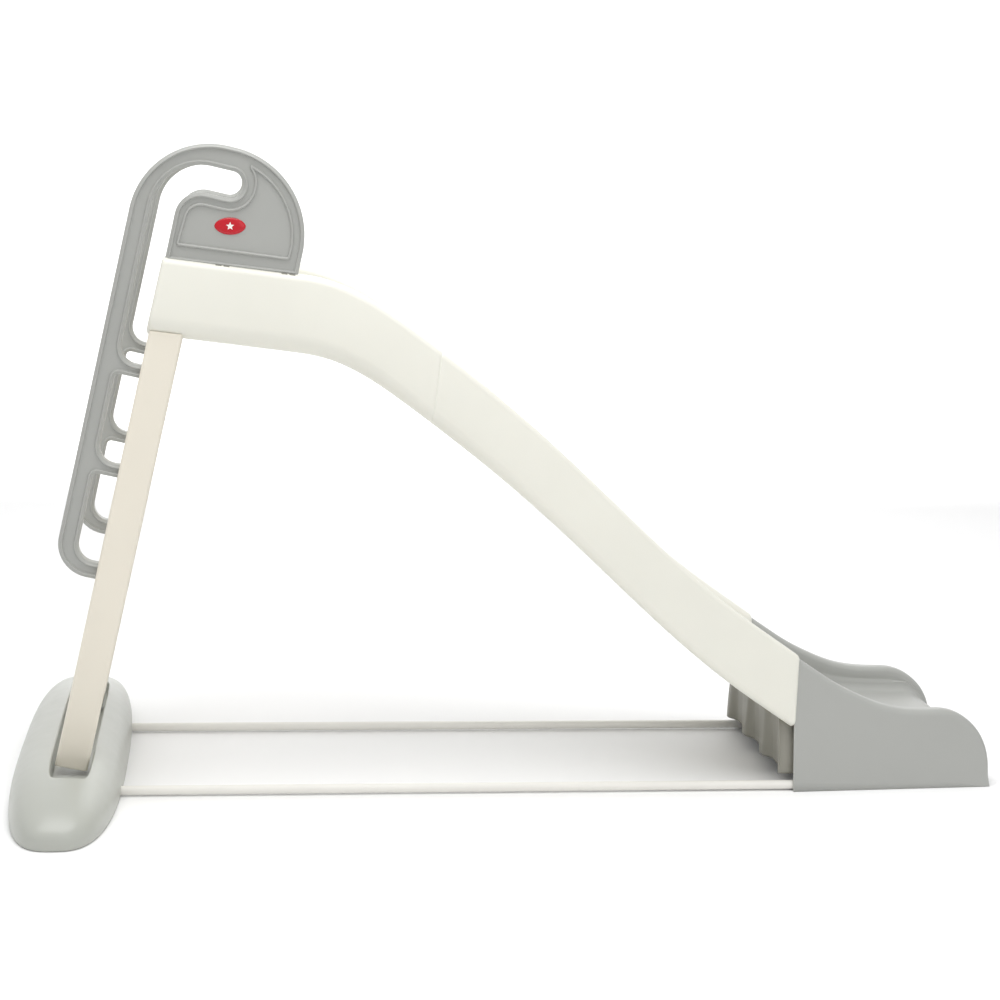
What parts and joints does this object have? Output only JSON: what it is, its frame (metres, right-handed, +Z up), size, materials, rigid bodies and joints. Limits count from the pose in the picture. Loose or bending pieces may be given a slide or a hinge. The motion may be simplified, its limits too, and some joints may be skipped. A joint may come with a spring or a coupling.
{
  "type": "toddler slide",
  "caption": "Free-standing toddler slide: moulded chute with a low side wall, leaning ladder with J-shaped handrails, domed rear foot, floor rods and a flared exit.",
  "frame": {"origin": "on the floor, under the middle of the slide's length and width", "axes": "+X from the ladder towards the exit, +Y to the rider's left, +Z up"},
  "size_m": [1.65, 0.8402, 1.0522],
  "materials": {
    "cream_plastic": "satin moulded polyethylene",
    "post_plastic": "satin moulded polyethylene",
    "grey_plastic": "satin moulded polyethylene",
    "light_grey_plastic": "satin moulded polyethylene",
    "rod_finish": "powder coat",
    "red_badge": "glossy",
    "zinc_steel": "zinc plated",
    "soft_rubber": "matte"
  },
  "bodies": {
    "root": {"upper_chute": "cream_plastic", "lower_chute": "cream_plastic", "chute_joint_bolts": "zinc_steel", "chute_joint_nuts": "zinc_steel", "exit_joint_bolts": "zinc_steel", "exit_joint_nuts": "zinc_steel", "exit_section": "grey_plastic", "exit_brace": "grey_plastic", "left_floor_rod": "rod_finish", "right_floor_rod": "rod_finish", "left_ladder_post": "post_plastic", "right_ladder_post": "post_plastic", "left_handrail": "grey_plastic", "right_handrail": "grey_plastic", "left_badge": "red_badge", "right_badge": "red_badge", "ladder_tread_1": "post_plastic", "ladder_tread_2": "post_plastic", "ladder_tread_3": "post_plastic", "ladder_tread_4": "post_plastic", "rear_foot": "light_grey_plastic", "foot_pads": "soft_rubber", "brace_screws": "zinc_steel", "post_screws": "zinc_steel", "handrail_screws": "zinc_steel"}
  },
  "joints": []
}
